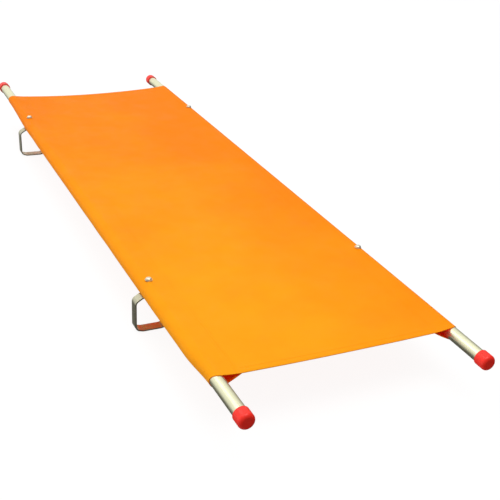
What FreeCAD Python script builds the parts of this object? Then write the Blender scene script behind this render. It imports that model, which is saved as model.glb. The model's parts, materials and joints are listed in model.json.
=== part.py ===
import FreeCAD, Part
import os
import re
import Sketcher
from FreeCAD import Rotation, Vector

os.makedirs("parts", exist_ok=True)
doc = FreeCAD.newDocument("folding_stretcher")

# Folding stretcher: two straight poles, a sheet sewn round them, and two folding spreader
# bars. X runs across the stretcher, Y along it, Z up from the ground. Heights marked "below
# the axis" are measured down from the pole axis.

DRIVING_SIZES = [
    ("overall_length", 2014, "tip to tip of the end caps"),
    ("pole_spacing", 530, "between the pole axes with the spreaders straight"),
    ("axis_height", 105, "pole axis above the ground"),
    ("tube_radius", 14, "outside of the pole tube"),
    ("tube_wall", 1.5, "wall of the pole tube"),
    ("fit_gap", 0.05, "radial gap of a running or push fit"),
    ("near_foot_y", -495, "near bolts, feet and spreader"),
    ("far_foot_y", 615, "far bolts, feet and spreader"),
    ("cap_length", 29, "end cap, over the tube"),
    ("cap_radius", 16.8, "outside of the end cap"),
    ("cap_end_wall", 4, "closed end of the cap"),
    ("cap_edge_radius", 7.5, "rounded outer edge of the cap"),
    ("bolt_radius", 4, "shank of the foot bolt"),
    ("bolt_head_radius", 7, "domed head of the foot bolt"),
    ("bolt_head_height", 4.5, "domed head of the foot bolt"),
    ("bolt_end_depth", 31.6, "lower end of the bolt, below the axis"),
    ("washer_radius", 8, "washer under the bolt head"),
    ("washer_thickness", 1.5, "washer under the bolt head"),
    ("crush_sleeve_radius", 6.5, "sleeve that keeps the tube from being crushed"),
    ("crush_sleeve_length", 21, "fits between the curved walls of the tube"),
    ("saddle_half_width", 13, "saddle block under the tube, across"),
    ("saddle_length", 24, "saddle block under the tube, along"),
    ("saddle_rise", 7, "top of the saddle cheeks, below the axis"),
    ("saddle_depth", 15.7, "bottom of the saddle, below the axis"),
    ("bush_radius", 6, "bush that the spreader turns on"),
    ("foot_depth", 18.9, "top face of the foot strap, below the axis"),
    ("strap_width", 24, "foot strap, along the pole"),
    ("strap_thickness", 3.2, "foot strap"),
    ("strap_bend_radius", 13, "outside radius of the bends in the foot strap"),
    ("foot_outer", 33.5, "bolt axis to the outer face of the foot, where it is widest"),
    ("foot_inner", 48, "bolt axis to the inner face of the foot, where it is widest"),
    ("foot_top_half", 16, "half the flat top of the foot"),
    ("foot_shoulder_depth", 30, "lower end of the sloping shoulder, below the axis"),
    ("foot_lean", 1.5, "how far each leg of the foot leans in towards its lower end"),
    ("foot_corner_rise", 5, "bottom corners of the foot above its flat sole"),
    ("foot_corner_run", 18, "bottom corner to the start of the flat sole"),
    ("nut_radius", 7.5, "corner radius of the hexagon nut"),
    ("nut_height", 6.5, "hexagon nut"),
    ("link_width", 22, "spreader link"),
    ("link_thickness", 2.5, "spreader link"),
    ("link_depth", 16, "top face of the links at the bolts, below the axis"),
    ("knee_drop", 2.8, "how far the right link is joggled down at the knee"),
    ("joggle_start", 75, "knee to the start of the joggle"),
    ("joggle_end", 88, "knee to the end of the joggle"),
    ("stop_start", 2, "knee to the near end of the stop lip"),
    ("stop_end", 12, "knee to the far end of the stop lip"),
    ("stop_gap", 0.3, "between the stop lip and the straight link"),
    ("stop_thickness", 2.2, "stop lip"),
    ("rivet_radius", 4, "shank of the knee rivet"),
    ("rivet_head_radius", 7, "heads of the knee rivet"),
    ("rivet_head_height", 2, "heads of the knee rivet"),
    ("open_pivot_gap", 0.25, "radial gap at the far right eye"),
    ("fabric_thickness", 1, "coated fabric of the sleeves"),
    ("panel_thickness", 1.5, "sheet between the sleeves, with its seam allowance"),
    ("sleeve_radius", 15.4, "outside of the fabric round the pole"),
    ("seam_reach", 47, "pole axis to the sleeve seam"),
    ("seam_height", 9.5, "seam above the pole axis"),
    ("sheet_near_y", -883, "near edge of the sheet"),
    ("sheet_far_y", 866, "far edge of the sheet"),
    ("sheet_sag", 5, "middle of the sheet below the seams"),
    ("soft_gap", 0.3, "between the sheet and a piece of another body"),
    ("window_half_width", 13.4, "opening under the sleeve for the saddle, across"),
    ("window_half_length", 14, "opening under the sleeve for the saddle, along"),
]

sheet = doc.addObject("Spreadsheet::Sheet", "dims")
for row, (alias, size, note) in enumerate(DRIVING_SIZES, start=1):
    sheet.set(f"A{row}", str(size))
    sheet.set(f"B{row}", note)
    sheet.setAlias(f"A{row}", alias)
doc.recompute()

EXPORTED = []


def bound(text):
    """Point each driving size that an expression names at its cell in the spreadsheet."""
    return re.sub(r"[a-z_]+", lambda word: f"dims.{word[0]}", text)


def value(text):
    """The number that an expression stands for now."""
    return float(sheet.evalExpression(bound(text)))


def bind(item, **sizes):
    """Bind an object's sizes to expressions in the driving dimensions."""
    for name, text in sizes.items():
        item.setExpression(name, bound(text))


def place(item, x="0", y="0", z="axis_height", turn=0):
    """Put a sub-part in the shared frame, turned about Z, and list it for export."""
    item.Placement.Rotation = Rotation(Vector(0, 0, 1), turn)
    for axis, text in (("x", x), ("y", y), ("z", z)):
        item.setExpression(f"Placement.Base.{axis}", bound(text))
    EXPORTED.append(item)


def new_body(name):
    body = doc.addObject("PartDesign::Body", name)
    body.Label = name
    return body


def new_sketch(body, name, plane):
    sketch = body.newObject("Sketcher::SketchObject", name)
    origin = next(item for item in body.Origin.OriginFeatures if item.Role == plane)
    sketch.AttachmentSupport = (origin, [""])
    sketch.MapMode = "FlatFace"
    return sketch


def fix_point(sketch, geometry, end, across, up):
    """Hold one point of a sketch at a place given by two expressions."""
    for kind, text in (("DistanceX", across), ("DistanceY", up)):
        index = sketch.addConstraint(Sketcher.Constraint(kind, -1, 1, geometry, end, value(text)))
        sketch.setExpression(f"Constraints[{index}]", bound(text))


def add_polygon(sketch, corners):
    """Closed outline through corners, each a pair of expressions."""
    points = [Vector(value(across), value(up), 0) for across, up in corners]
    first = len(sketch.Geometry)
    count = len(points)
    for index, point in enumerate(points):
        sketch.addGeometry(Part.LineSegment(point, points[(index + 1) % count]))
    for index, (across, up) in enumerate(corners):
        following = first + (index + 1) % count
        sketch.addConstraint(Sketcher.Constraint("Coincident", first + index, 2, following, 1))
        fix_point(sketch, first + index, 1, across, up)


def add_rectangle(sketch, left, right, low, high):
    add_polygon(sketch, [(left, low), (right, low), (right, high), (left, high)])


def add_circle(sketch, across, up, radius):
    centre = Vector(value(across), value(up), 0)
    index = sketch.addGeometry(Part.Circle(centre, Vector(0, 0, 1), value(radius)))
    size = sketch.addConstraint(Sketcher.Constraint("Radius", index, value(radius)))
    sketch.setExpression(f"Constraints[{size}]", bound(radius))
    fix_point(sketch, index, 3, across, up)


def pad(body, sketch, length, symmetric=False, downward=False):
    feature = body.newObject("PartDesign::Pad", f"{sketch.Name}_pad")
    feature.Profile = sketch
    feature.SideType = "Symmetric" if symmetric else "One side"
    feature.Reversed = downward
    bind(feature, Length=length)
    doc.recompute()
    return feature


def pocket(body, sketch, length, symmetric=False, upward=False):
    """Cut a sketch out of a body, and stop if nothing was cut."""
    before = body.Shape.Volume
    feature = body.newObject("PartDesign::Pocket", f"{sketch.Name}_pocket")
    feature.Profile = sketch
    feature.SideType = "Symmetric" if symmetric else "One side"
    feature.Reversed = upward
    bind(feature, Length=length)
    doc.recompute()
    if body.Shape.Volume > before - 0.1:
        raise RuntimeError(f"{feature.Name} cuts nothing")
    return feature


def cut_round_holes(body, name, centres, radius, length, **way):
    """Round holes along Z, their centres given as pairs of expressions."""
    sketch = new_sketch(body, name, "XY_Plane")
    for across, along in centres:
        add_circle(sketch, across, along, radius)
    doc.recompute()
    return pocket(body, sketch, length, **way)


def round_edges(body, feature, wanted, radius):
    """Fillet the edges of a feature that the function wanted picks."""
    edges = feature.Shape.Edges
    names = [f"Edge{index}" for index, edge in enumerate(edges, start=1) if wanted(edge)]
    fillet = body.newObject("PartDesign::Fillet", f"{body.Name}_rounding")
    fillet.Base = (feature, names)
    bind(fillet, Radius=radius)
    doc.recompute()
    return fillet


def upright_at(places):
    """Picks edges along Z that stand at one of the places, each an (x, y) pair."""
    def wanted(edge):
        middle = edge.CenterOfMass
        flat = abs(edge.BoundBox.ZLength) < 1e-6
        return not flat and any(
            abs(middle.x - value(x)) < 0.01 and abs(middle.y - value(y)) < 0.01
            for x, y in places
        )
    return wanted


def hollow_out(body, feature, wall):
    """Leave a wall of even thickness, open at both ends along Y."""
    faces = feature.Shape.Faces
    ends = [
        f"Face{index}" for index, face in enumerate(faces, start=1)
        if abs(face.BoundBox.YLength) < 1e-6
    ]
    shell = body.newObject("PartDesign::Thickness", f"{body.Name}_wall")
    shell.Base = (feature, ends)
    shell.Reversed = True
    shell.Join = 1
    bind(shell, Value=wall)
    doc.recompute()
    if body.Shape.Volume > 0.9 * feature.Shape.Volume:
        raise RuntimeError(f"{body.Name} is not hollow")
    return shell


def revolve(body, corners, axis, plane):
    sketch = new_sketch(body, f"{body.Name}_profile", plane)
    add_polygon(sketch, corners)
    doc.recompute()
    feature = body.newObject("PartDesign::Revolution", f"{body.Name}_turned")
    feature.Profile = sketch
    feature.ReferenceAxis = (sketch, [axis])
    feature.Angle = 360
    doc.recompute()
    return feature


def ring(name, radius, hole, height, bottom):
    """Washer, bush or sleeve: a cylinder with a hole, made at the origin."""
    disc = doc.addObject("Part::Cylinder", f"{name}_disc")
    bind(disc, Radius=radius, Height=height)
    disc.setExpression("Placement.Base.z", bound(bottom))
    bore = doc.addObject("Part::Cylinder", f"{name}_bore")
    bind(bore, Radius=hole, Height=f"{height} + 2")
    bore.setExpression("Placement.Base.z", bound(f"{bottom} - 1"))
    cut = doc.addObject("Part::Cut", name)
    cut.Label = name
    cut.Base = disc
    cut.Tool = bore
    return cut


def group(name, members):
    """Identical fasteners of one pole, kept as separate solids in one node."""
    compound = doc.addObject("Part::Compound", name)
    compound.Label = name
    compound.Links = members
    return compound


# The two poles are alike: each is built once per side, X measured towards its own side.
SIDES = {"left": ("-0.5 * pole_spacing", 0), "right": ("0.5 * pole_spacing", 180)}
ENDS = {"near": "near_foot_y", "far": "far_foot_y"}
TIPS = {"near": "-0.5 * overall_length", "far": "0.5 * overall_length"}


def build_tube(side):
    body = new_body(f"{side}_tube")
    section = new_sketch(body, f"{side}_tube_section", "XZ_Plane")
    add_circle(section, "0", "0", "tube_radius")
    add_circle(section, "0", "0", "tube_radius - tube_wall")
    doc.recompute()
    pad(body, section, "overall_length - 2 * cap_end_wall", symmetric=True)
    bolts = [("0", y) for y in ENDS.values()]
    cut_round_holes(
        body, f"{side}_tube_bolt_holes", bolts, "bolt_radius + fit_gap", "4 * tube_radius",
        symmetric=True,
    )
    place(body, x=SIDES[side][0])


def build_cap(side, end):
    """Moulded cap pushed over the tube, its closed end away from the middle."""
    body = new_body(f"{end}_{side}_cap")
    turned = revolve(body, [
        ("0", "0"),
        ("cap_radius", "0"),
        ("cap_radius", "cap_length"),
        ("tube_radius + fit_gap", "cap_length"),
        ("tube_radius + fit_gap", "cap_end_wall"),
        ("0", "cap_end_wall"),
    ], "V_Axis", "XY_Plane")
    rim = value("cap_radius")
    round_edges(
        body, turned,
        lambda edge: abs(edge.BoundBox.YMax) < 1e-6 and edge.BoundBox.XMax > rim - 0.1,
        "cap_edge_radius",
    )
    place(body, x=SIDES[side][0], y=TIPS[end], turn=0 if end == "near" else 180)


def build_saddle(side, end):
    """Block between the round tube and the flat foot."""
    body = new_body(f"{end}_{side}_saddle")
    block = new_sketch(body, f"{body.Name}_block", "XZ_Plane")
    add_rectangle(
        block, "-saddle_half_width", "saddle_half_width", "-saddle_depth", "-saddle_rise",
    )
    doc.recompute()
    pad(body, block, "saddle_length", symmetric=True)
    cradle = new_sketch(body, f"{body.Name}_cradle", "XZ_Plane")
    add_circle(cradle, "0", "0", "tube_radius + fit_gap")
    doc.recompute()
    pocket(body, cradle, "2 * saddle_length", symmetric=True)
    cut_round_holes(
        body, f"{body.Name}_hole", [("0", "0")], "bolt_radius + fit_gap",
        "4 * tube_radius", symmetric=True,
    )
    place(body, x=SIDES[side][0], y=ENDS[end])


def build_foot(side, end):
    """Stirrup of flat strap, bent to a closed loop; -X is the outer side before turning."""
    body = new_body(f"{end}_{side}_foot")
    loop = new_sketch(body, f"{body.Name}_loop", "XZ_Plane")
    add_polygon(loop, [
        ("-foot_top_half", "-foot_depth"),
        ("-foot_outer", "-foot_shoulder_depth"),
        ("foot_lean - foot_outer", "foot_corner_rise - axis_height"),
        ("foot_lean + foot_corner_run - foot_outer", "-axis_height"),
        ("foot_inner - foot_corner_run - foot_lean", "-axis_height"),
        ("foot_inner - foot_lean", "foot_corner_rise - axis_height"),
        ("foot_inner", "-foot_shoulder_depth"),
        ("foot_top_half", "-foot_depth"),
    ])
    doc.recompute()
    solid = pad(body, loop, "strap_width", symmetric=True)
    half = 0.4 * value("strap_width")
    bends = round_edges(
        body, solid, lambda edge: edge.BoundBox.YLength > half, "strap_bend_radius",
    )
    hollow_out(body, bends, "strap_thickness")
    cut_round_holes(
        body, f"{body.Name}_hole", [("0", "0")], "bolt_radius + fit_gap",
        "2 * foot_depth", symmetric=False,
    )
    place(body, x=SIDES[side][0], y=ENDS[end], turn=SIDES[side][1])


def build_bolt(side, end):
    """Bolt with a domed head that stands on the washer over the fabric."""
    seat = "( sleeve_radius + washer_thickness )"
    body = new_body(f"{end}_{side}_bolt")
    turned = revolve(body, [
        ("0", "-bolt_end_depth"),
        ("bolt_radius", "-bolt_end_depth"),
        ("bolt_radius", seat),
        ("bolt_head_radius", seat),
        ("bolt_head_radius", f"{seat} + bolt_head_height"),
        ("0", f"{seat} + bolt_head_height"),
    ], "V_Axis", "XZ_Plane")
    rim = value("bolt_head_radius")
    top = value(f"{seat} + bolt_head_height")
    round_edges(
        body, turned,
        lambda edge: edge.BoundBox.ZMin > top - 0.01 and edge.BoundBox.XMax > rim - 0.01,
        "0.9 * bolt_head_height",
    )
    place(body, x=SIDES[side][0], y=ENDS[end])


def build_nut(side, end):
    name = f"{end}_{side}_nut"
    seat = "-( foot_depth + strap_thickness + nut_height )"
    prism = doc.addObject("Part::Prism", f"{name}_hexagon")
    prism.Polygon = 6
    bind(prism, Circumradius="nut_radius", Height="nut_height")
    prism.setExpression("Placement.Base.z", bound(seat))
    bore = doc.addObject("Part::Cylinder", f"{name}_bore")
    bind(bore, Radius="bolt_radius + fit_gap", Height="2 * foot_depth")
    bore.setExpression("Placement.Base.z", bound(f"{seat} - 1"))
    nut = doc.addObject("Part::Cut", name)
    nut.Label = name
    nut.Base = prism
    nut.Tool = bore
    place(nut, x=SIDES[side][0], y=ENDS[end])


def build_washers(side):
    rings = []
    for end, y in ENDS.items():
        washer = ring(
            f"{end}_{side}_washer", "washer_radius", "bolt_radius + fit_gap",
            "washer_thickness", "sleeve_radius",
        )
        washer.setExpression("Placement.Base.y", bound(y))
        rings.append(washer)
    place(group(f"{side}_washers", rings), x=SIDES[side][0])


def build_crush_sleeve(side, end):
    sleeve = ring(
        f"{end}_{side}_crush_sleeve", "crush_sleeve_radius", "bolt_radius + fit_gap",
        "crush_sleeve_length", "-0.5 * crush_sleeve_length",
    )
    place(sleeve, x=SIDES[side][0], y=ENDS[end])


def build_bush(side, end):
    """Bush clamped between saddle and foot, which leaves the spreader's eye free to turn."""
    bush = ring(
        f"{end}_{side}_bush", "bush_radius", "bolt_radius + fit_gap",
        "foot_depth - saddle_depth", "-foot_depth",
    )
    place(bush, x=SIDES[side][0], y=ENDS[end])


def build_left_link(end):
    """Upper link, with a lip past the knee that stops the spreader at straight."""
    sign = "" if end == "near" else "-"
    other = "-" if end == "near" else ""
    reach = "0.5 * pole_spacing"
    half = "0.5 * link_width"
    lip_in = f"{sign}( {half} + stop_gap )"
    lip_out = f"{sign}( {half} + stop_gap + stop_thickness )"
    body = new_body(f"{end}_left_link")
    plate = new_sketch(body, f"{body.Name}_plate", "XY_Plane")
    add_polygon(plate, [
        (f"-{half}", f"{other}{half}"),
        (f"{reach} + stop_end", f"{other}{half}"),
        (f"{reach} + stop_end", lip_out),
        (f"{reach} + stop_start", lip_out),
        (f"{reach} + stop_start", f"{sign}{half}"),
        (f"-{half}", f"{sign}{half}"),
    ])
    doc.recompute()
    flat = pad(body, plate, "link_thickness", downward=True)
    corners = [
        (f"-{half}", f"-{half}"),
        (f"-{half}", half),
        (f"{reach} + stop_end", f"{other}{half}"),
    ]
    round_edges(body, flat, upright_at(corners), f"{half} - 0.2")
    lip = new_sketch(body, f"{body.Name}_lip", "XY_Plane")
    add_rectangle(lip, f"{reach} + stop_start", f"{reach} + stop_end", lip_in, lip_out)
    doc.recompute()
    pad(body, lip, "knee_drop + link_thickness", downward=True)
    cut_round_holes(
        body, f"{body.Name}_eye", [("0", "0")], "bush_radius + fit_gap",
        "4 * link_thickness", symmetric=True,
    )
    cut_round_holes(
        body, f"{body.Name}_rivet_hole", [(reach, "0")], "rivet_radius",
        "4 * link_thickness", symmetric=True,
    )
    place(body, x=f"-{reach}", y=ENDS[end], z="axis_height - link_depth")


def build_right_link(end):
    """Lower link: it passes under the left link at the knee and is joggled up beyond it."""
    reach = "0.5 * pole_spacing"
    half = "0.5 * link_width"
    gap = "fit_gap" if end == "near" else "open_pivot_gap"
    body = new_body(f"{end}_right_link")
    strip = new_sketch(body, f"{body.Name}_strip", "XZ_Plane")
    add_polygon(strip, [
        (f"-{half}", "-knee_drop - link_thickness"),
        ("joggle_start", "-knee_drop - link_thickness"),
        ("joggle_end", "-link_thickness"),
        (f"{reach} + {half}", "-link_thickness"),
        (f"{reach} + {half}", "0"),
        ("joggle_end", "0"),
        ("joggle_start", "-knee_drop"),
        (f"-{half}", "-knee_drop"),
    ])
    doc.recompute()
    flat = pad(body, strip, "link_width", symmetric=True)
    corners = [(x, y) for x in (f"-{half}", f"{reach} + {half}") for y in (f"-{half}", half)]
    round_edges(body, flat, upright_at(corners), f"{half} - 0.2")
    cut_round_holes(
        body, f"{body.Name}_eye", [(reach, "0")], f"bush_radius + {gap}",
        "6 * link_thickness", symmetric=True,
    )
    cut_round_holes(
        body, f"{body.Name}_rivet_hole", [("0", "0")], "rivet_radius + fit_gap",
        "6 * link_thickness", symmetric=True,
    )
    place(body, y=ENDS[end], z="axis_height - link_depth")


def build_knee_rivet(end):
    """Rivet fast in the left link; the right link turns on its shank."""
    lower = "-( 2 * fit_gap + knee_drop + link_thickness )"
    body = new_body(f"{end}_knee_rivet")
    turned = revolve(body, [
        ("0", f"{lower} - rivet_head_height"),
        ("rivet_head_radius", f"{lower} - rivet_head_height"),
        ("rivet_head_radius", lower),
        ("rivet_radius", lower),
        ("rivet_radius", "0"),
        ("rivet_head_radius", "0"),
        ("rivet_head_radius", "rivet_head_height"),
        ("0", "rivet_head_height"),
    ], "V_Axis", "XZ_Plane")
    rim = value("rivet_head_radius")
    top = value("rivet_head_height")
    round_edges(
        body, turned,
        lambda edge: edge.BoundBox.ZMin > top - 0.01 and edge.BoundBox.XMax > rim - 0.01,
        "0.8 * rivet_head_height",
    )
    place(body, y=ENDS[end], z="axis_height - link_depth")


def build_sleeve(side):
    """Fabric wrapped round a pole and sewn to itself at the seam, on the inner side."""
    inward = 1 if side == "left" else -1
    seam = "seam_reach" if side == "left" else "-seam_reach"
    body = new_body(f"{side}_sleeve")
    section = new_sketch(body, f"{body.Name}_section", "XZ_Plane")
    tip = Vector(value(seam), value("seam_height"), 0)
    radius = value("sleeve_radius")
    top = Vector(0, radius, 0)
    bottom = Vector(inward * 0.5 * radius, -0.8 * radius, 0)
    outer = Vector(-inward * radius, 0, 0)
    section.addGeometry(Part.Arc(top, outer, bottom))
    section.addGeometry(Part.LineSegment(bottom, tip))
    section.addGeometry(Part.LineSegment(tip, top))
    # A sketch arc runs anticlockwise, so its ends change places from one side to the other.
    start, finish = (1, 2) if side == "left" else (2, 1)
    section.addConstraint(Sketcher.Constraint("Coincident", 0, 3, -1, 1))
    size = section.addConstraint(Sketcher.Constraint("Radius", 0, radius))
    section.setExpression(f"Constraints[{size}]", bound("sleeve_radius"))
    section.addConstraint(Sketcher.Constraint("Coincident", 1, 2, 2, 1))
    fix_point(section, 1, 2, seam, "seam_height")
    section.addConstraint(Sketcher.Constraint("Tangent", 0, finish, 1, 1))
    section.addConstraint(Sketcher.Constraint("Tangent", 2, 2, 0, start))
    doc.recompute()
    # Pad grows towards -Y from the XZ plane, so the near edge is reached by its length.
    solid = pad(body, section, "sheet_far_y - sheet_near_y")
    hollow_out(body, solid, "fabric_thickness")
    windows = new_sketch(body, f"{body.Name}_windows", "XY_Plane")
    for foot_y in ENDS.values():
        add_rectangle(
            windows, "-window_half_width", "window_half_width",
            f"{foot_y} - sheet_far_y - window_half_length",
            f"{foot_y} - sheet_far_y + window_half_length",
        )
    doc.recompute()
    pocket(body, windows, "2 * sleeve_radius")
    cut_round_holes(
        body, f"{body.Name}_bolt_holes", [("0", f"{y} - sheet_far_y") for y in ENDS.values()],
        "bolt_radius + soft_gap", "2 * sleeve_radius", upward=True,
    )
    place(body, x=SIDES[side][0], y="sheet_far_y")


def build_panel():
    """Sheet between the two seams, hanging in a shallow arc."""
    half = "( 0.5 * pole_spacing - seam_reach )"
    right = f"{half} - soft_gap"
    arc_radius = f"( {half} ^ 2 + sheet_sag ^ 2 ) / ( 2 * sheet_sag )"
    body = new_body("sheet_panel")
    section = new_sketch(body, "sheet_panel_section", "XZ_Plane")
    height = value("seam_height")
    sag = value("sheet_sag")
    thickness = value("panel_thickness")
    edge = value(half)
    left_top = Vector(-edge, height, 0)
    right_top = Vector(edge, height, 0)
    drop = Vector(0, -thickness, 0)
    section.addGeometry(Part.Arc(left_top, Vector(0, height - sag, 0), right_top))
    section.addGeometry(Part.Arc(
        left_top + drop, Vector(0, height - sag - thickness, 0), right_top + drop,
    ))
    section.addGeometry(Part.LineSegment(left_top, left_top + drop))
    section.addGeometry(Part.LineSegment(right_top, right_top + drop))
    for line, end in ((2, 1), (3, 2)):
        section.addConstraint(Sketcher.Constraint("Coincident", 0, end, line, 1))
        section.addConstraint(Sketcher.Constraint("Coincident", 1, end, line, 2))
        section.addConstraint(Sketcher.Constraint("Vertical", line))
    for arc, drop_text in ((0, ""), (1, " - panel_thickness")):
        size = section.addConstraint(Sketcher.Constraint("Radius", arc, value(arc_radius)))
        section.setExpression(f"Constraints[{size}]", bound(arc_radius))
        fix_point(section, arc, 3, "0", f"seam_height - sheet_sag + {arc_radius}{drop_text}")
    for line, text in ((2, f"-{half}"), (3, right)):
        reach = section.addConstraint(
            Sketcher.Constraint("DistanceX", -1, 1, line, 1, value(text)))
        section.setExpression(f"Constraints[{reach}]", bound(text))
    doc.recompute()
    pad(body, section, "sheet_far_y - sheet_near_y")
    place(body, y="sheet_far_y")


build_panel()
for side_name in SIDES:
    build_tube(side_name)
    build_sleeve(side_name)
    build_washers(side_name)
    for end_name in ENDS:
        build_cap(side_name, end_name)
        build_saddle(side_name, end_name)
        build_foot(side_name, end_name)
        build_bolt(side_name, end_name)
        build_nut(side_name, end_name)
        build_crush_sleeve(side_name, end_name)
        build_bush(side_name, end_name)
for end_name in ENDS:
    build_left_link(end_name)
    build_right_link(end_name)
    build_knee_rivet(end_name)
doc.recompute()

for item in doc.Objects:
    if "Invalid" in item.State or "Error" in item.State:
        raise RuntimeError(f"{item.Label}: {item.State}")
for item in EXPORTED:
    if item.Shape.isNull() or not item.Shape.isValid():
        raise RuntimeError(f"{item.Label} has no valid shape")
    item.Shape.exportStep(f"parts/{item.Label}.step")
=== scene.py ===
"""Looks of the folding stretcher: its sewn sheet, materials, light and camera, round the CAD frame."""
import json
import math

import bpy
from mathutils import Matrix, Vector, noise


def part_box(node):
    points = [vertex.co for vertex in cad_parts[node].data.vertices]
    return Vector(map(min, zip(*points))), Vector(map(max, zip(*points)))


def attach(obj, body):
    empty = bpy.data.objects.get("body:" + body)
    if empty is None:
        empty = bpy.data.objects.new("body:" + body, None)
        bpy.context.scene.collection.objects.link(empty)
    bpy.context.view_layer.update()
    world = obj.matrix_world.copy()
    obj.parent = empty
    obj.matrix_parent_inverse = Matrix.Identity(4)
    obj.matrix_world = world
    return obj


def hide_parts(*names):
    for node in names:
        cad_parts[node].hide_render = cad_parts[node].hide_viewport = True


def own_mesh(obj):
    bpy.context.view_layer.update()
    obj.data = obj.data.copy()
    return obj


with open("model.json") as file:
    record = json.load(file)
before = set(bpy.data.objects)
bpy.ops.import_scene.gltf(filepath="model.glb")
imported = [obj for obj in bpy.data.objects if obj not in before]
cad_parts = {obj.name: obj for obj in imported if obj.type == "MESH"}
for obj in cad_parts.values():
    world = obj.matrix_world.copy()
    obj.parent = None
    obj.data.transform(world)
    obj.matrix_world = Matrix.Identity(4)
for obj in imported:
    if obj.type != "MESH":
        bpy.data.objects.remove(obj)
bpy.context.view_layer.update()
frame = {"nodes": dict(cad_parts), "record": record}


def box_middle(node, axis):
    """Middle of a CAD node's box along one axis: 0 is X, 1 is Y and 2 is Z."""
    low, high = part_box(node)
    return (low[axis] + high[axis]) / 2


# Sizes are in metres and directions in degrees. X runs across the stretcher, Y along it, Z up.
AXIS_Z = box_middle("left_tube", 2)
HALF_SPACING = box_middle("right_tube", 0)
FOOT_Y = {end: box_middle(f"{end}_left_foot", 1) for end in ("near", "far")}
SIDE_SIGN = {"left": -1, "right": 1}
PANEL_LOW, PANEL_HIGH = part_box("sheet_panel")
SHEET_NEAR = PANEL_LOW[1]
SHEET_FAR = PANEL_HIGH[1]
SHEET_LENGTH = SHEET_FAR - SHEET_NEAR
SEAM_X = -PANEL_LOW[0]
FLAP_WIDTH = HALF_SPACING - SEAM_X    # cloth between a seam and the crown of its pole

# The sheet. A pair of sizes is for its near edge and its far edge.
FABRIC_THICKNESS = 0.0009
GRID_STEP = 0.009             # spacing of the points that the cloth is made of
SEAM_HEIGHT = 0.0106          # seam above the pole axis
MIDDLE_SAG = (0.0012, 0.007)  # middle of the sheet below the seams
SET_BACK = (0.006, -0.022)    # the edges run askew: how far back their left end is
SKEW_REACH = (0.3, 0.4)       # how far in from the edges the cloth is drawn askew
OUTER_SKEW = 0.55             # shift of a sleeve's ends for each metre outwards of a pole's axis
FLAP_EASE = 0.9               # a flap's curve: 0 is a plain parabola, 2 meets the crown level
CREASE_ANGLE = 50             # folds sharper than this are shaded as edges

# Slack waves: how high the broad ones, the diagonal ones and those pulled by the bolts are.
BROAD_WAVE = 0.0014
DIAGONAL_WAVE = 0.0006
BOLT_PULL = 0.0006
CALM_FROM = 0.12              # the first two die away from here to the seams
PULL_REACH = 0.10             # how far along the sheet a bolt's pull is felt
PULL_FROM = (0.08, 0.17)      # across the sheet, it grows between these places
PULL_CALM_FROM = 0.19         # and dies away from here to the seam
PULL_RIPPLES = 55             # radians of ripple in a metre

# The sleeves. Directions round a pole: 90 is up and 180 is away from the middle.
LOOP_RADIUS = 0.0153          # fabric drawn tight round the tube
LOOP_START = 90
LOOP_END = 297                # the sleeve leaves the tube here and runs back to the seam
LOOP_STEP = 7
FLAP_STEPS = 10               # points of the flap, and of the stretch back to the seam
RETURN_STEPS = 8
LOOP_SLACK = {"left": 0.0074, "right": 0.0016}    # how far a sleeve stands off at its loosest
LOOSE_AT = 209                # direction of the slack
SLACK_SPREAD = (95, 52)       # how far to each side of it the slack reaches: above, below
TIGHT_END = (0.11, 0.34)      # the slack runs out over these lengths at the edges
UNEVEN_SLACK = 0.25           # share of the slack that comes and goes along the pole
PUCKERS = 0.07                # share of it in short puckers
RETURN_DROP = 2.2 * FABRIC_THICKNESS    # the returning edge is sewn on below the panel
RETURN_HANG = 0.0008
WINDOW_X = 0.0134             # half sizes of the opening below a saddle
WINDOW_Y = 0.014
WINDOW_TOP = 0.007            # below the pole axis

# Hems and stitching.
HEM_WIDTH = 0.020
HEM_DROP = 0.0022
# Section of the cloth turned under: distance in from the edge, and share of the hem's drop.
HEM_FOLD = ((HEM_WIDTH, 1), (0.0009, 1), (0.0002, 0.75), (0, 0.5), (0.0003, 0.15))
HEM_TOP = 0.0012              # here the fold has come up to the sheet's own height
STITCH_LENGTH = 0.0036
STITCH_PITCH = 0.0055
STITCH_RADIUS = 0.00035
STITCH_LIFT = STITCH_RADIUS * 0.2    # centre of a thread above the cloth
STITCH_FLATNESS = 0.8
STITCH_RINGS = ((-0.5, 0.35), (-0.3, 1.0), (0.3, 1.0), (0.5, 0.35))    # shares of length and radius
STITCH_SIDES = 6
SEAM_ROWS = (0.003, 0.009)    # rows of stitches outside a seam
SEAM_ROW_MARGIN = 0.006       # from the ends of a row to the edges of the cloth
HEM_ROW_MARGIN = 0.004        # from a hem's row to the hem's inner edge and to the seams


def between(low, high, share):
    return low + (high - low) * share


def smoothstep(low, high, number):
    share = min(max((number - low) / (high - low), 0), 1)
    return share * share * (3 - 2 * share)


def shares(count):
    """Evenly spaced shares from 0 to 1, both included."""
    return [index / count for index in range(count + 1)]


def stations(low, high, step):
    """Evenly spaced places from low to high, both included, about a step apart."""
    count = max(1, round((high - low) / step))
    return [between(low, high, share) for share in shares(count)]


# ---------------------------------------------------------------- materials

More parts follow.
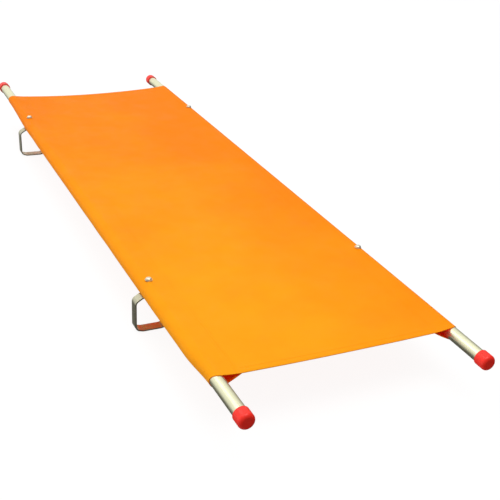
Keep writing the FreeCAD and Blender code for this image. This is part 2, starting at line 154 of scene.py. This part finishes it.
class Material:
    """A Principled material with short ways to add the procedural nodes it needs."""

    def __init__(self, name, color, roughness, metallic=0.0, **sockets):
        self.item = bpy.data.materials.new(name)
        self.item.use_nodes = True
        self.nodes = self.item.node_tree.nodes
        self.links = self.item.node_tree.links
        self.shader = next(node for node in self.nodes if node.type == "BSDF_PRINCIPLED")
        self.shader.inputs["Base Color"].default_value = (*color, 1)
        self.shader.inputs["Roughness"].default_value = roughness
        self.shader.inputs["Metallic"].default_value = metallic
        for socket, amount in sockets.items():
            self.shader.inputs[socket.replace("_", " ")].default_value = amount
        self.bumps = None
        self.place = self.nodes.new("ShaderNodeTexCoord").outputs["Object"]

    def along(self, axis):
        """One of the object coordinates, in metres."""
        split = self.nodes.new("ShaderNodeSeparateXYZ")
        self.links.new(self.place, split.inputs["Vector"])
        return split.outputs[axis]

    def stretched(self, scale):
        """Object coordinates scaled unevenly, for grain that runs one way."""
        mapping = self.nodes.new("ShaderNodeMapping")
        mapping.inputs["Scale"].default_value = scale
        self.links.new(self.place, mapping.inputs["Vector"])
        return mapping.outputs["Vector"]

    def on_cloth(self):
        """Coordinates that keep running across the cloth where it turns down round a pole."""
        outwards = self.math("ABSOLUTE", self.along("X"), 0)
        across = self.math("SUBTRACT", outwards, self.along("Z"))
        joined = self.nodes.new("ShaderNodeCombineXYZ")
        self.links.new(across, joined.inputs["X"])
        self.links.new(self.along("Y"), joined.inputs["Y"])
        return joined.outputs["Vector"]

    def noise(self, scale, detail=3, roughness=0.5, vector=None, distortion=0.0):
        texture = self.nodes.new("ShaderNodeTexNoise")
        texture.inputs["Scale"].default_value = scale
        texture.inputs["Detail"].default_value = detail
        texture.inputs["Roughness"].default_value = roughness
        texture.inputs["Distortion"].default_value = distortion
        self.links.new(vector or self.place, texture.inputs["Vector"])
        return texture.outputs["Fac"]

    def wave(self, direction, scale, vector):
        texture = self.nodes.new("ShaderNodeTexWave")
        texture.bands_direction = direction
        texture.inputs["Scale"].default_value = scale
        self.links.new(vector, texture.inputs["Vector"])
        return texture.outputs["Fac"]

    def remap(self, factor, from_low, from_high, to_low, to_high):
        node = self.nodes.new("ShaderNodeMapRange")
        node.inputs["From Min"].default_value = from_low
        node.inputs["From Max"].default_value = from_high
        node.inputs["To Min"].default_value = to_low
        node.inputs["To Max"].default_value = to_high
        self.links.new(factor, node.inputs["Value"])
        return node.outputs["Result"]

    def math(self, operation, first, second):
        node = self.nodes.new("ShaderNodeMath")
        node.operation = operation
        for socket, item in zip(node.inputs, (first, second)):
            if isinstance(item, (int, float)):
                socket.default_value = item
            else:
                self.links.new(item, socket)
        return node.outputs["Value"]

    def mix_color(self, factor, low, high):
        node = self.nodes.new("ShaderNodeMix")
        node.data_type = "RGBA"
        self.links.new(factor, node.inputs[0])
        for socket, item in ((node.inputs[6], low), (node.inputs[7], high)):
            if isinstance(item, tuple):
                socket.default_value = (*item, 1)
            else:
                self.links.new(item, socket)
        return node.outputs[2]

    def color(self, output):
        self.links.new(output, self.shader.inputs["Base Color"])

    def roughness(self, factor, low, high):
        """Let the roughness follow a noise, which stays mostly between 0.3 and 0.7."""
        result = self.remap(factor, 0.3, 0.7, low, high)
        self.links.new(result, self.shader.inputs["Roughness"])

    def bump(self, factor, height, strength):
        """Add a layer of relief, its height in metres."""
        node = self.nodes.new("ShaderNodeBump")
        node.inputs["Strength"].default_value = strength
        node.inputs["Distance"].default_value = height
        self.links.new(factor, node.inputs["Height"])
        if self.bumps is not None:
            self.links.new(self.bumps, node.inputs["Normal"])
        self.bumps = node.outputs["Normal"]
        self.links.new(self.bumps, self.shader.inputs["Normal"])


def darkened(color, share):
    return tuple(channel * share for channel in color)


WEAVE_SCALE = 190      # gives a thread every 1.65 mm
WEAVE_DEPTH = 0.00012
WEAVE_SHADE = 0.30     # painted shade: how much darker the gaps between the threads are


def make_fabric(name, near_color, far_color, roughness, **sockets):
    """Coated cloth: a fine weave under a smooth coating, a little cloudy in colour, with painted light
    and shade.
    """
    cloth = Material(name, near_color, roughness, Specular_IOR_Level=0.03, **sockets)

    # Painted light and shade: the colour deepens towards the far end and the right-hand side, in soft
    # clouds.
    run = cloth.remap(cloth.along("Y"), SHEET_NEAR, SHEET_FAR, 0, 1)
    clouds = cloth.noise(3.5, detail=4, roughness=0.6)
    across = cloth.remap(cloth.along("X"), 0, HALF_SPACING, 0, 0.5)
    painted_light_drift = cloth.math("ADD", run, across)
    painted_drift_in_clouds = cloth.math("ADD", painted_light_drift, cloth.remap(clouds, 0.3, 0.7, -0.22, 0.22))
    base = cloth.mix_color(painted_drift_in_clouds, near_color, far_color)

    grime = cloth.remap(cloth.noise(38, detail=6, roughness=0.65), 0.45, 0.8, 0, 0.10)
    surface = cloth.on_cloth()
    threads = cloth.math("MAXIMUM", cloth.wave("X", WEAVE_SCALE, surface),
                         cloth.wave("Y", WEAVE_SCALE, surface))
    # Real grime, plus painted shade in the gaps between the threads.
    grime_and_gap_shade = cloth.math("ADD", grime, cloth.remap(threads, 0, 1, WEAVE_SHADE, 0))
    cloth.color(cloth.mix_color(grime_and_gap_shade, base, darkened(near_color, 0.6)))

    cloth.roughness(cloth.noise(22, detail=5), roughness - 0.07, roughness + 0.10)
    cloth.bump(threads, WEAVE_DEPTH, 0.8)
    cloth.bump(cloth.noise(55, detail=4, roughness=0.55), 0.0004, 0.35)
    return cloth.item


def make_metal(name, color, roughness, metallic, grain, wear=0.12):
    """Metal with a directional grain, faint stains and fine scratches."""
    metal = Material(name, color, roughness, metallic, Specular_IOR_Level=0.5)
    lines = metal.noise(240, detail=4, roughness=0.6, vector=metal.stretched(grain))
    stains = metal.noise(26, detail=6, roughness=0.65)
    amount = metal.math("ADD", metal.remap(lines, 0.35, 0.75, 0, wear),
                        metal.remap(stains, 0.45, 0.8, 0, wear * 1.4))
    metal.color(metal.mix_color(amount, color, darkened(color, 0.62)))
    metal.roughness(lines, roughness - 0.08, roughness + 0.14)
    metal.bump(lines, 0.00004, 0.5)
    metal.bump(stains, 0.00012, 0.3)
    return metal.item


def make_plastic(name, color, roughness):
    """Moulded plastic with a faint orange-peel surface and scuffs."""
    plastic = Material(name, color, roughness, Specular_IOR_Level=0.35, Coat_Weight=0.05,
                       Coat_Roughness=0.22)
    scuffs = plastic.noise(90, detail=7, roughness=0.7, distortion=0.6)
    lighter = tuple(min(1, channel * 1.15 + 0.02) for channel in color)
    plastic.color(plastic.mix_color(plastic.remap(scuffs, 0.5, 0.8, 0, 0.35), color, lighter))
    plastic.roughness(scuffs, roughness - 0.06, roughness + 0.15)
    plastic.bump(plastic.noise(420, detail=2), 0.00005, 0.4)
    return plastic.item


def make_thread(name, color):
    """Twisted sewing thread."""
    thread = Material(name, color, 0.7, Specular_IOR_Level=0.03)
    twist = thread.noise(900, detail=2, vector=thread.stretched((1, 2.5, 1)))
    thread.color(thread.mix_color(twist, darkened(color, 0.7), color))
    thread.bump(twist, 0.0001, 0.5)
    return thread.item


ORANGE = make_fabric("coated_fabric", (0.98, 0.357, 0.006), (0.97, 0.228, 0.002), 0.50)
# Daylight from above glows through the thin cloth, so its back is never quite dark.
# The back's deep red is painted light and shade: light bounced inside and passed through the orange
# cloth.
BACK_PAINTED_SHADE = make_fabric(
    "fabric_back_painted_shade", (0.97, 0.15, 0.008), (0.94, 0.12, 0.008), 0.62,
    Subsurface_Weight=0.85, Subsurface_Radius=(1.0, 0.12, 0.01), Subsurface_Scale=0.012,
)
THREAD = make_thread("thread", (0.98, 0.33, 0.010))
# After its colour, a metal has its roughness and how metallic it is. The grain is drawn out along
# the axes that are scaled down.
EVEN_GRAIN = (1, 1, 1)
SLOT_MATERIALS = {
    "pole_tube": make_metal("pole_aluminium", (0.86, 0.85, 0.58), 0.30, 0.92, grain=(1, 0.02, 1)),
    "end_cap": make_plastic("cap_plastic", (0.95, 0.020, 0.007), 0.34),
    "foot_strap": make_metal("foot_steel", (0.58, 0.56, 0.40), 0.32, 0.86,
                             grain=(0.06, 1, 0.06), wear=0.25),
    "spreader_link": make_metal("link_steel", (0.52, 0.51, 0.46), 0.38, 0.95,
                                grain=(0.04, 1, 1), wear=0.2),
    "saddle": make_metal("saddle_casting", (0.47, 0.47, 0.44), 0.52, 0.90, EVEN_GRAIN, wear=0.2),
    "bush": make_metal("bush_brass", (0.72, 0.53, 0.24), 0.32, 1.00, grain=(1, 1, 0.1)),
    # The fasteners' warm peach tint is a painted reflection of the orange cloth round them.
    "fastener": make_metal("zinc_fastener", (0.80, 0.72, 0.56), 0.32, 0.90, EVEN_GRAIN),
}


def dress_frame():
    """Give each CAD node the material of its slot. The cloth's nodes are replaced further on."""
    slots = {part["node"]: part["material_slot"] for part in frame["record"]["subparts"]}
    for name, node in frame["nodes"].items():
        material = SLOT_MATERIALS.get(slots[name])
        if material is None:
            continue
        node.data.materials.clear()
        node.data.materials.append(material)


# ---------------------------------------------------------------- the sheet's shape

def wrinkle(x, y):
    """Slack waves of the cloth, none at the seams."""
    aside = abs(x)
    # The last number in each noise only picks one of its patterns.
    broad = BROAD_WAVE * noise.noise(Vector((x * 3.1, y * 1.7, 4.2)))
    diagonal = DIAGONAL_WAVE * noise.noise(Vector(((x + y) * 7, (x - y) * 2.2, 9.1)))
    pull = 0.0
    for foot_y in FOOT_Y.values():
        away = y - foot_y
        reach = math.exp(-(away / PULL_REACH) ** 2) * smoothstep(*PULL_FROM, aside)
        ripple = BOLT_PULL * reach * math.sin(PULL_RIPPLES * away)
        pull += ripple * (1 - smoothstep(PULL_CALM_FROM, SEAM_X, aside))
    return (broad + diagonal) * (1 - smoothstep(CALM_FROM, SEAM_X, aside)) + pull


def top_height(x, y):
    """Height of the sheet's upper face: a shallow trough, with a flap up to each pole's crown."""
    seam = AXIS_Z + SEAM_HEIGHT
    past_seam = abs(x) - SEAM_X
    if past_seam < 0:
        sag = between(*MIDDLE_SAG, (y - SHEET_NEAR) / SHEET_LENGTH) * (1 - (x / SEAM_X) ** 2)
        return seam - sag + wrinkle(x, y)
    rise = past_seam / FLAP_WIDTH
    return between(seam, AXIS_Z + LOOP_RADIUS, rise * rise * (1 + FLAP_EASE - FLAP_EASE * rise))


def sheet_rows():
    """Places along the sheet, with the windows' edges among them."""
    marks = [SHEET_NEAR]
    for foot_y in FOOT_Y.values():
        marks += [foot_y - WINDOW_Y, foot_y + WINDOW_Y]
    marks.append(SHEET_FAR)
    rows = [SHEET_NEAR]
    for low, high in zip(marks, marks[1:]):
        rows += stations(low, high, GRID_STEP)[1:]
    return rows


ROWS = sheet_rows()


def askew(x, y):
    """Y of a point once the edges of the sheet have been set askew."""
    left_share = (HALF_SPACING - x) / (2 * HALF_SPACING)
    outside = OUTER_SKEW * max(0, abs(x) - HALF_SPACING)
    near_fade = 1 - smoothstep(0, SKEW_REACH[0], y - SHEET_NEAR)
    far_fade = 1 - smoothstep(0, SKEW_REACH[1], SHEET_FAR - y)
    near, far = SET_BACK
    return y + near_fade * (near * left_share + outside) + far_fade * left_share * (far + outside)


def add_mesh(name, points, faces):
    """A smooth-shaded object in the scene."""
    mesh = bpy.data.meshes.new(name)
    mesh.from_pydata(points, [], faces)
    mesh.polygons.foreach_set("use_smooth", [True] * len(mesh.polygons))
    item = bpy.data.objects.new(name, mesh)
    bpy.context.scene.collection.objects.link(item)
    return item


def grid_mesh(name, rows, keep=None):
    """Mesh through rows of points; keep says which cells stay, by the cell's centre."""
    width = len(rows[0])
    points = [point for row in rows for point in row]
    faces = []
    for start in range(0, width * (len(rows) - 1), width):
        for corner in range(start, start + width - 1):
            face = (corner, corner + 1, corner + width + 1, corner + width)
            centre = sum((Vector(points[index]) for index in face), Vector()) / 4
            if keep is None or keep(centre):
                faces.append(face)
    used = sorted({index for face in faces for index in face})
    renumbered = {old: new for new, old in enumerate(used)}
    return add_mesh(name, [points[old] for old in used],
                    [tuple(renumbered[index] for index in face) for face in faces])


def apply_modifiers(item):
    """Turn an object's modifiers into mesh."""
    graph = bpy.context.evaluated_depsgraph_get()
    graph.update()
    mesh = bpy.data.meshes.new_from_object(item.evaluated_get(graph))
    item.modifiers.clear()
    item.data = mesh


def thicken(item):
    """Give a surface the cloth's thickness, its back in the second material, whose deep red is painted
    light and shade.
    """
    item.data.materials.append(ORANGE)
    item.data.materials.append(BACK_PAINTED_SHADE)
    solid = item.modifiers.new("thickness", "SOLIDIFY")
    solid.thickness = FABRIC_THICKNESS
    solid.offset = -1
    solid.material_offset = 1
    solid.material_offset_rim = 0
    solid.use_quality_normals = True
    apply_modifiers(item)
    item.data.set_sharp_from_angle(angle=math.radians(CREASE_ANGLE))


def build_panel():
    """The lain-on sheet between the seams, with its ends turned under as hems."""
    columns = stations(-SEAM_X, SEAM_X, GRID_STEP)

    def row(y, drop=0.0):
        return [(x, askew(x, y), top_height(x, y) - drop) for x in columns]

    near_hem = [row(SHEET_NEAR + inset, HEM_DROP * share) for inset, share in HEM_FOLD]
    far_hem = [row(SHEET_FAR - inset, HEM_DROP * share) for inset, share in reversed(HEM_FOLD)]
    inner = [row(y) for y in (SHEET_NEAR + HEM_TOP, *ROWS[1:-1], SHEET_FAR - HEM_TOP)]
    item = grid_mesh("sheet_panel_cloth", near_hem + inner + far_hem)
    thicken(item)
    return item


def slack_at(side, y):
    """How far the sleeve stands off the tube: uneven along the pole, none at its ends."""
    sign = SIDE_SIGN[side]    # each side has patterns of its own
    tight = smoothstep(0, TIGHT_END[0], y - SHEET_NEAR)
    tight *= smoothstep(0, TIGHT_END[1], SHEET_FAR - y)
    uneven = 1 + UNEVEN_SLACK * noise.noise(Vector((sign * 5.0, y * 3.4, 2.0)))
    puckers = PUCKERS * noise.noise(Vector((sign * 8.0, y * 13, 6.0)))
    return LOOP_SLACK[side] * tight * (uneven + puckers)


def loop_profile(side, y):
    """Points of the sleeve at one place along the pole, from seam over the pole and back."""
    points = []
    for share in shares(FLAP_STEPS)[:-1]:
        x = SEAM_X + share * FLAP_WIDTH
        points.append((x, top_height(x, y)))

    slack = slack_at(side, y)
    for angle in stations(LOOP_START, LOOP_END, LOOP_STEP):
        spread = SLACK_SPREAD[0] if angle < LOOSE_AT else SLACK_SPREAD[1]
        away = min(abs(angle - LOOSE_AT) / spread, 1) * 90
        radius = LOOP_RADIUS + slack * math.cos(math.radians(away)) ** 2
        turn = math.radians(angle)
        points.append((HALF_SPACING - radius * math.cos(turn), AXIS_Z + radius * math.sin(turn)))

    last_x, last_z = points[-1]
    sewn_z = top_height(SEAM_X, y) - RETURN_DROP
    for share in shares(RETURN_STEPS)[1:]:
        hang = RETURN_HANG * math.sin(math.pi * share)
        points.append((between(last_x, SEAM_X, share), between(last_z, sewn_z, share) - hang))
    sign = SIDE_SIGN[side]
    return [(sign * x, askew(sign * x, y), z) for x, z in points]


def sleeve_width(side):
    """Width that a sleeve was cut to: the length of its profile in the middle."""
    points = [Vector(point) for point in loop_profile(side, ROWS[len(ROWS) // 2])]
    return sum((end - start).length for start, end in zip(points, points[1:]))


def build_sleeve(side):
    """Cloth sewn round a pole, open below each saddle."""
    pole_x = SIDE_SIGN[side] * HALF_SPACING

    def keep(centre):
        under = centre.z < AXIS_Z - WINDOW_TOP and abs(centre.x - pole_x) < WINDOW_X
        at_foot = any(abs(centre.y - foot_y) < WINDOW_Y for foot_y in FOOT_Y.values())
        return not (under and at_foot)

    order = 1 if side == "right" else -1    # so that the cloth's front faces away from the pole
    rows = [loop_profile(side, y)[::order] for y in ROWS]
    item = grid_mesh(f"{side}_sleeve_cloth", rows, keep)
    thicken(item)
    return item


def stitch_row(name, spots):
    """A row of short thread stitches: each spot is a centre and the way the stitch runs."""
    points = []
    faces = []
    for centre, direction in spots:
        along = direction.normalized()
        across = along.cross(Vector((0, 0, 1))).normalized()
        up = across.cross(along)
        first = len(points)
        for share, size in STITCH_RINGS:
            for step in range(STITCH_SIDES):
                turn = math.tau * step / STITCH_SIDES
                offset = across * math.cos(turn) + up * math.sin(turn) * STITCH_FLATNESS
                points.append(centre + along * share * STITCH_LENGTH + offset * size * STITCH_RADIUS)
        last = first + (len(STITCH_RINGS) - 1) * STITCH_SIDES
        for ring in range(first, last, STITCH_SIDES):
            for step in range(STITCH_SIDES):
                corner = ring + step
                beside = ring + (step + 1) % STITCH_SIDES
                faces.append((corner, beside, beside + STITCH_SIDES, corner + STITCH_SIDES))
        faces.append(tuple(first + step for step in reversed(range(STITCH_SIDES))))
        faces.append(tuple(last + step for step in range(STITCH_SIDES)))
    item = add_mesh(name, points, faces)
    item.data.materials.append(THREAD)
    return item


def on_top(x, y):
    """Centre of a stitch that lies on the sheet."""
    return Vector((x, askew(x, y), top_height(x, y) + STITCH_LIFT))


def seam_stitches(side):
    """Two rows along the seam that closes a sleeve, seen from above."""
    spots = []
    for offset in SEAM_ROWS:
        x = SIDE_SIGN[side] * (SEAM_X + offset)
        for y in stations(SHEET_NEAR + SEAM_ROW_MARGIN, SHEET_FAR - SEAM_ROW_MARGIN, STITCH_PITCH):
            spots.append((on_top(x, y), Vector((0, 1, 0))))
    return stitch_row(f"{side}_seam_stitching", spots)


def hem_stitches(end):
    """One row across the panel that holds a hem."""
    inset = HEM_WIDTH - HEM_ROW_MARGIN
    y = SHEET_NEAR + inset if end == "near" else SHEET_FAR - inset
    probe = 0.001
    spots = []
    for x in stations(-SEAM_X + HEM_ROW_MARGIN, SEAM_X - HEM_ROW_MARGIN, STITCH_PITCH):
        slope = (top_height(x + probe, y) - top_height(x - probe, y)) / (2 * probe)
        spots.append((on_top(x, y), Vector((1, 0, slope))))
    return stitch_row(f"{end}_hem_stitching", spots)


def build_sheet():
    """The sheet's pieces: they meet at the seams, so that each can follow its own pole."""

    panel = build_panel()
    hems = [hem_stitches(end) for end in FOOT_Y]
    for piece in (panel, *hems):
        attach(piece, "left_pole")
        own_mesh(piece)
    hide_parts("sheet_panel")

    for side in SIDE_SIGN:
        sleeve = build_sleeve(side)
        thread = seam_stitches(side)
        for piece in (sleeve, thread):
            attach(piece, f"{side}_pole")
        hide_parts(f"{side}_sleeve")
        sleeve_width(side)


# ---------------------------------------------------------------- light, floor and camera

FLOOR_REACH = 9.0
FLOOR_GLOW = 0.91        # with the light on it, this comes to a plain white
GROUND_BOUNCE = 0.88     # strength of the light that matt surfaces get from below


def build_studio():
    """A white floor under soft light from above."""
    corners = ((-1, -1), (1, -1), (1, 1), (-1, 1))
    mesh = bpy.data.meshes.new("floor")
    mesh.from_pydata([(x * FLOOR_REACH, y * FLOOR_REACH, 0) for x, y in corners], [], [(0, 1, 2, 3)])
    floor = bpy.data.objects.new("floor", mesh)
    bpy.context.scene.collection.objects.link(floor)
    paper = Material("floor_paper", (0.11, 0.11, 0.11), 0.9, Specular_IOR_Level=0.05,
                     Emission_Color=(1, 1, 1, 1), Emission_Strength=FLOOR_GLOW)
    paper.color(paper.mix_color(paper.noise(2.0), (0.10, 0.10, 0.10), (0.12, 0.12, 0.12)))
    mesh.materials.append(paper.item)
    floor.visible_glossy = False
    floor.visible_diffuse = False

    build_sky()
    add_area("key_light", where=(0.1, -0.9, 3.4), target=(0, 0, AXIS_Z), size=2.6, power=46)
    add_area("fill_light", where=(-1.2, 1.6, 2.8), target=(0, 0.2, AXIS_Z), size=2.0, power=12)


def build_sky():
    """Even light from above, weaker from the front and the right, and a soft bounce from below."""
    world = bpy.data.worlds.new("studio")
    bpy.context.scene.world = world
    world.use_nodes = True
    nodes = world.node_tree.nodes
    links = world.node_tree.links
    split = nodes.new("ShaderNodeSeparateXYZ")
    links.new(nodes.new("ShaderNodeTexCoord").outputs["Generated"], split.inputs["Vector"])
    rays = nodes.new("ShaderNodeLightPath").outputs

    def ramp(axis, low, high, at_low, at_high):
        """Strength that changes smoothly with one part of the ray's direction."""
        node = nodes.new("ShaderNodeMapRange")
        node.interpolation_type = "SMOOTHSTEP"
        node.inputs["From Min"].default_value = low
        node.inputs["From Max"].default_value = high
        node.inputs["To Min"].default_value = at_low
        node.inputs["To Max"].default_value = at_high
        links.new(split.outputs[axis], node.inputs["Value"])
        return node.outputs["Result"]

    def combine(operation, first, second):
        node = nodes.new("ShaderNodeMath")
        node.operation = operation
        links.new(first, node.inputs[0])
        links.new(second, node.inputs[1])
        return node.outputs["Value"]

    from_above = ramp("Z", -0.55, 0.20, 0.06, 1.0)
    from_front = ramp("Y", -0.9, 0.2, 0.38, 1.0)
    from_right = ramp("X", 0.35, 0.95, 1.0, 0.20)
    # The floor's bounce comes from here: matt surfaces see through the floor itself.
    bounce = combine("MULTIPLY", ramp("Z", -0.20, 0.05, GROUND_BOUNCE, 0.0), rays["Is Diffuse Ray"])
    bounce = combine("MULTIPLY", bounce, ramp("Y", -0.8, 0.0, 0.30, 1.0))
    light = combine("ADD", from_above, bounce)
    light = combine("MULTIPLY", light, from_front)
    light = combine("MULTIPLY", light, from_right)
    # The camera itself sees plain white past the edge of the floor.
    seen = combine("MAXIMUM", light, rays["Is Camera Ray"])
    links.new(seen, nodes["Background"].inputs["Strength"])
    nodes["Background"].inputs["Color"].default_value = (1, 1, 1, 1)


def add_area(name, where, target, size, power):
    """A round soft light that shines at a target."""
    light = bpy.data.lights.new(name, "AREA")
    light.shape = "DISK"
    light.size = size
    light.energy = power
    item = bpy.data.objects.new(name, light)
    item.location = where
    item.rotation_euler = (Vector(target) - Vector(where)).to_track_quat("-Z", "Y").to_euler()
    bpy.context.scene.collection.objects.link(item)


CAMERA_AZIMUTH = -30.01
CAMERA_ELEVATION = 26.46
CAMERA_ROLL = 5.69
CAMERA_FROM_AXES = (-0.8478, -2.1140, 0.9545)    # from the middle of the pole-axis plane
CAMERA_LENS = 64.58      # mm
CAMERA_SENSOR = 36       # mm
CAMERA_SHIFT = (-0.0867, 0.0086)


def build_camera():
    """Camera in front of the near left corner, looking down along the stretcher."""
    azimuth, elevation, roll = (
        math.radians(angle) for angle in (CAMERA_AZIMUTH, CAMERA_ELEVATION, CAMERA_ROLL))
    forward = Vector((-math.sin(azimuth) * math.cos(elevation),
                      math.cos(azimuth) * math.cos(elevation), -math.sin(elevation)))
    level = forward.cross(Vector((0, 0, 1))).normalized()
    upright = level.cross(forward)
    right = level * math.cos(roll) + upright * math.sin(roll)
    up = upright * math.cos(roll) - level * math.sin(roll)
    data = bpy.data.cameras.new("camera")
    data.lens = CAMERA_LENS
    data.sensor_width = CAMERA_SENSOR
    data.shift_x, data.shift_y = CAMERA_SHIFT
    data.clip_end = 50
    camera = bpy.data.objects.new("camera", data)
    place = Matrix.Translation(Vector(CAMERA_FROM_AXES) + Vector((0, 0, AXIS_Z)))
    camera.matrix_world = place @ Matrix((right, up, -forward)).transposed().to_4x4()
    bpy.context.scene.collection.objects.link(camera)
    bpy.context.scene.camera = camera


dress_frame()
build_sheet()
build_studio()
build_camera()
bpy.context.scene.view_settings.view_transform = "Standard"
